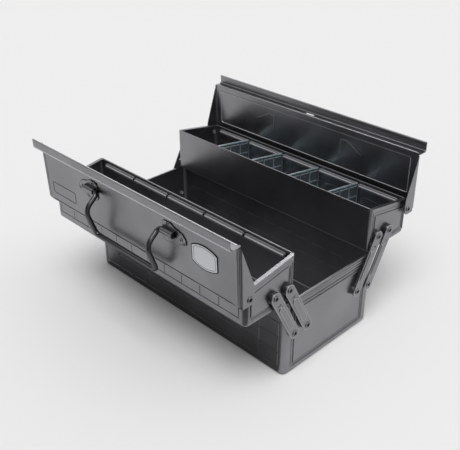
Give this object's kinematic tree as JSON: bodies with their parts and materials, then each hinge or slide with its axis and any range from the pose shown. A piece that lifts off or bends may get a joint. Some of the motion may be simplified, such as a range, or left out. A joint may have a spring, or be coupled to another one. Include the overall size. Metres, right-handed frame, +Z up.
{
  "type": "cantilever tool box",
  "caption": "Pressed steel tool box whose two trays swing out on end links, each under a hinged half lid with a folding wire handle.",
  "frame": {"origin": "on the standing surface under the middle of the base", "axes": "+Z up, X along the box, +Y towards the rear tray, with the front lid's name plate on the -Y side"},
  "size_m": [0.3528, 0.3474, 0.2198],
  "materials": {
    "body_enamel": "satin dark grey stoved enamel on pressed steel sheet",
    "tray_enamel": "satin dark grey stoved enamel on pressed steel sheet",
    "lid_enamel": "satin dark grey stoved enamel on pressed steel sheet",
    "link_steel": "satin dark enamel on thicker strip",
    "rivet_steel": "dull plated steel",
    "collar_steel": "dull plated steel",
    "handle_enamel": "satin dark enamel on bent rod",
    "bracket_steel": "satin dark enamel on stamped sheet",
    "plate_metal": "satin dark grey, left blank",
    "divider_zinc": "dull bluish zinc-coated sheet"
  },
  "bodies": {
    "base": {"base_tub": "body_enamel", "base_link_collars": "collar_steel", "base_link_rivets": "rivet_steel"},
    "front_outer_links": {"front_outer_link_left": "link_steel", "front_outer_link_right": "link_steel"},
    "front_inner_links": {"front_inner_link_left": "link_steel", "front_inner_link_right": "link_steel"},
    "front_tray": {"front_tray": "tray_enamel", "front_tray_link_collars": "collar_steel", "front_tray_link_rivets": "rivet_steel", "front_lid_pivot_rivets": "rivet_steel"},
    "front_lid": {"front_lid": "lid_enamel", "front_handle_bracket_left": "bracket_steel", "front_handle_bracket_right": "bracket_steel", "front_bracket_rivets": "rivet_steel", "front_name_plate": "plate_metal"},
    "front_handle": {"front_handle": "handle_enamel"},
    "rear_outer_links": {"rear_outer_link_left": "link_steel", "rear_outer_link_right": "link_steel"},
    "rear_inner_links": {"rear_inner_link_left": "link_steel", "rear_inner_link_right": "link_steel"},
    "rear_tray": {"rear_tray": "tray_enamel", "rear_tray_link_collars": "collar_steel", "rear_tray_link_rivets": "rivet_steel", "rear_lid_pivot_rivets": "rivet_steel", "rear_lid_pivot_collars": "collar_steel"},
    "rear_lid": {"rear_lid": "lid_enamel", "rear_handle_bracket_left": "bracket_steel", "rear_handle_bracket_right": "bracket_steel", "rear_bracket_rivets": "rivet_steel"},
    "rear_handle": {"rear_handle": "handle_enamel"},
    "divider_1": {"rear_tray_divider_1": "divider_zinc"},
    "divider_2": {"rear_tray_divider_2": "divider_zinc"},
    "divider_3": {"rear_tray_divider_3": "divider_zinc"},
    "divider_4": {"rear_tray_divider_4": "divider_zinc"}
  },
  "joints": [
    {"name": "front_outer_links_swing", "type": "hinge", "parent": "base", "child": "front_outer_links", "pos_m": [0, -0.06813, 0.06001], "axis": [-1, 0, 0], "range_deg": [0, 56]},
    {"name": "front_inner_links_swing", "type": "hinge", "parent": "base", "child": "front_inner_links", "pos_m": [0, -0.04613, 0.06001], "axis": [-1, 0, 0], "range_deg": [0, 56]},
    {"name": "front_tray_level", "type": "hinge", "parent": "front_outer_links", "child": "front_tray", "pos_m": [0, -0.10146, 0.1227], "axis": [-1, 0, 0], "range_deg": [-56, 0]},
    {"name": "front_lid_hinge", "type": "hinge", "parent": "front_tray", "child": "front_lid", "pos_m": [0, -0.13726, 0.1381], "axis": [-1, 0, 0], "range_deg": [0, 75.5]},
    {"name": "front_handle_swing", "type": "hinge", "parent": "front_lid", "child": "front_handle", "pos_m": [0, -0.15523, 0.1811], "axis": [-1, 0, 0], "range_deg": [0, 110]},
    {"name": "rear_outer_links_swing", "type": "hinge", "parent": "base", "child": "rear_outer_links", "pos_m": [0, 0.06813, 0.06001], "axis": [1, 0, 0], "range_deg": [0, 56]},
    {"name": "rear_inner_links_swing", "type": "hinge", "parent": "base", "child": "rear_inner_links", "pos_m": [0, 0.04613, 0.06001], "axis": [1, 0, 0], "range_deg": [0, 56]},
    {"name": "rear_tray_level", "type": "hinge", "parent": "rear_outer_links", "child": "rear_tray", "pos_m": [0, 0.10146, 0.1227], "axis": [1, 0, 0], "range_deg": [-56, 0]},
    {"name": "rear_lid_hinge", "type": "hinge", "parent": "rear_tray", "child": "rear_lid", "pos_m": [0, 0.13726, 0.1381], "axis": [1, 0, 0], "range_deg": [0, 72.5]},
    {"name": "rear_handle_swing", "type": "hinge", "parent": "rear_lid", "child": "rear_handle", "pos_m": [0, 0.15295, 0.18198], "axis": [1, 0, 0], "range_deg": [0, 110]},
    {"name": "divider_1_slide", "type": "slide", "parent": "rear_tray", "child": "divider_1", "axis": [0, 0, -1], "range_m": [-0.05, 0]},
    {"name": "divider_2_slide", "type": "slide", "parent": "rear_tray", "child": "divider_2", "axis": [0, 0, -1], "range_m": [-0.05, 0]},
    {"name": "divider_3_slide", "type": "slide", "parent": "rear_tray", "child": "divider_3", "axis": [0, 0, -1], "range_m": [-0.05, 0]},
    {"name": "divider_4_slide", "type": "slide", "parent": "rear_tray", "child": "divider_4", "axis": [0, 0, -1], "range_m": [-0.05, 0]}
  ],
  "couplings": [
    {"joint": "front_inner_links_swing", "follows": "front_outer_links_swing", "ratio": 1},
    {"joint": "front_tray_level", "follows": "front_outer_links_swing", "ratio": -1},
    {"joint": "rear_inner_links_swing", "follows": "rear_outer_links_swing", "ratio": 1},
    {"joint": "rear_tray_level", "follows": "rear_outer_links_swing", "ratio": -1}
  ]
}
